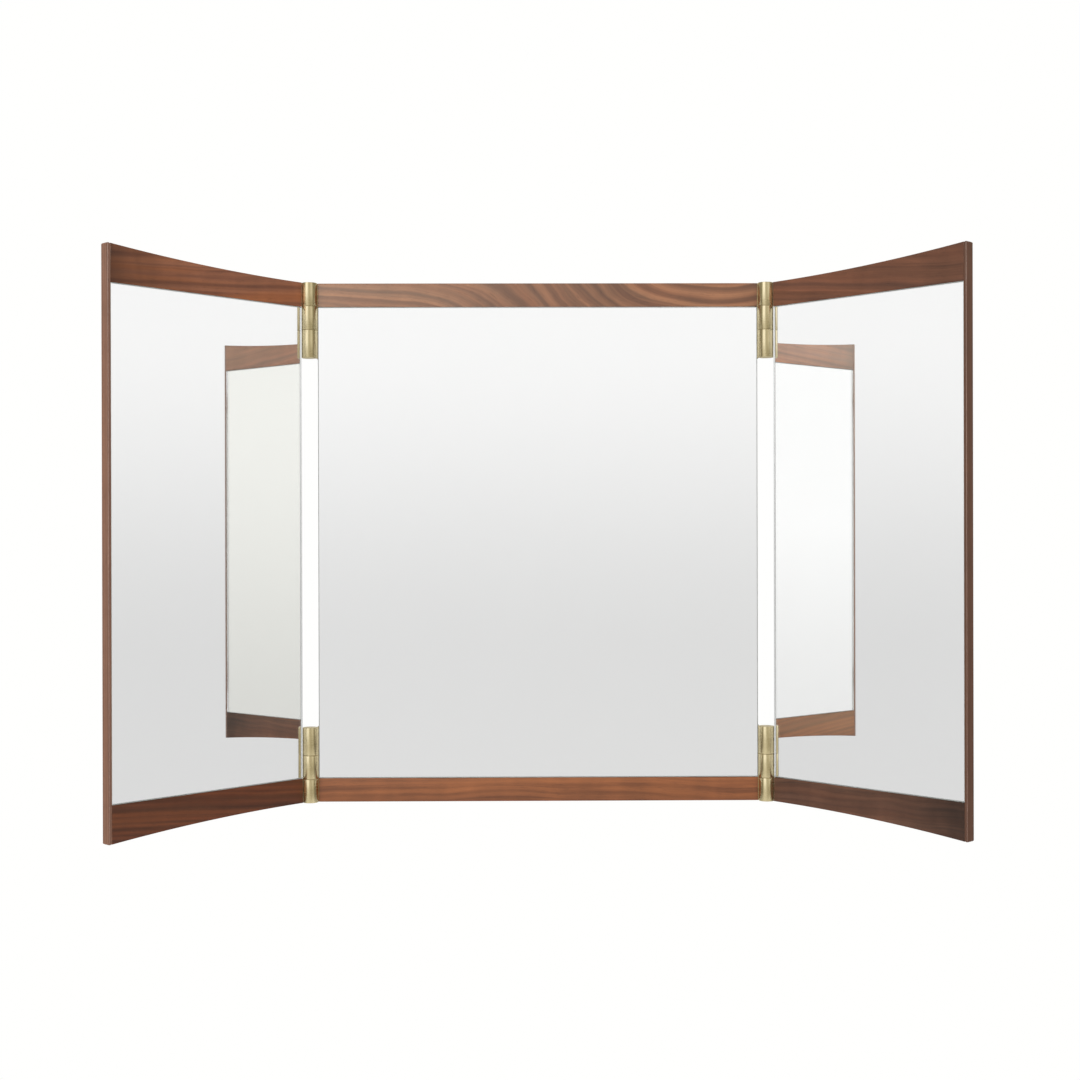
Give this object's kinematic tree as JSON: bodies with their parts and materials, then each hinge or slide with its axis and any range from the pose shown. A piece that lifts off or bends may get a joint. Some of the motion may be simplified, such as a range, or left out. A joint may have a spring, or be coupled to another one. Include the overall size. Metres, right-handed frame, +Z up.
{
  "type": "triptych wall mirror",
  "caption": "Triptych wall mirror: a fixed centre mirror with walnut rails and a flared wing mirror on brass barrel hinges at each side.",
  "frame": {"origin": "on the wall, in the middle of the wall cleat's row of screw holes", "axes": "+Z up, +Y into the wall so that the mirrors face -Y, +X to the viewer's right"},
  "size_m": [1.0718, 0.2498, 0.7378],
  "materials": {
    "mirror_glass": "silvered float glass, polished edge",
    "walnut": "oiled walnut, satin, grain along the rail",
    "walnut_slip": "oiled walnut, satin, grain upright",
    "satin_brass": "brushed along the barrel, satin",
    "brass_screws": "turned, satin",
    "black_board": "fibreboard, matt black lacquer",
    "glass_tape": "white foam tape",
    "aluminium": "extruded, satin anodised",
    "steel_screws": "zinc plated",
    "clear_rubber": "soft, translucent",
    "bronze_washers": "turned, dull"
  },
  "bodies": {
    "centre_panel": {"centre_glass": "mirror_glass", "centre_glass_tape": "glass_tape", "centre_top_rail": "walnut", "centre_bottom_rail": "walnut", "centre_board": "black_board", "centre_left_batten": "walnut", "centre_right_batten": "walnut", "panel_cleat": "aluminium", "panel_cleat_screws": "steel_screws", "wall_cleat": "aluminium", "wall_bumpers": "clear_rubber", "left_upper_fixed_leaf": "satin_brass", "left_lower_fixed_leaf": "satin_brass", "right_upper_fixed_leaf": "satin_brass", "right_lower_fixed_leaf": "satin_brass", "fixed_leaf_screws": "brass_screws", "left_upper_pin": "satin_brass", "left_lower_pin": "satin_brass", "right_upper_pin": "satin_brass", "right_lower_pin": "satin_brass", "left_upper_washers": "bronze_washers", "left_lower_washers": "bronze_washers", "right_upper_washers": "bronze_washers", "right_lower_washers": "bronze_washers"},
    "left_wing": {"left_wing_glass": "mirror_glass", "left_wing_glass_tape": "glass_tape", "left_wing_top_rail": "walnut", "left_wing_bottom_rail": "walnut", "left_wing_slip": "walnut_slip", "left_wing_board": "black_board", "left_wing_batten": "walnut", "left_wing_upper_leaf": "satin_brass", "left_wing_lower_leaf": "satin_brass", "left_wing_leaf_screws": "brass_screws"},
    "right_wing": {"right_wing_glass": "mirror_glass", "right_wing_glass_tape": "glass_tape", "right_wing_top_rail": "walnut", "right_wing_bottom_rail": "walnut", "right_wing_slip": "walnut_slip", "right_wing_board": "black_board", "right_wing_batten": "walnut", "right_wing_upper_leaf": "satin_brass", "right_wing_lower_leaf": "satin_brass", "right_wing_leaf_screws": "brass_screws"}
  },
  "joints": [
    {"name": "left_wing_hinge", "type": "hinge", "parent": "centre_panel", "child": "left_wing", "pos_m": [-0.3111, -0.0239, -0.2424], "axis": [0, 0, 1], "range_deg": [-46.35, 133.65]},
    {"name": "right_wing_hinge", "type": "hinge", "parent": "centre_panel", "child": "right_wing", "pos_m": [0.3111, -0.0239, -0.2424], "axis": [0, 0, -1], "range_deg": [-47.15, 132.85]}
  ]
}
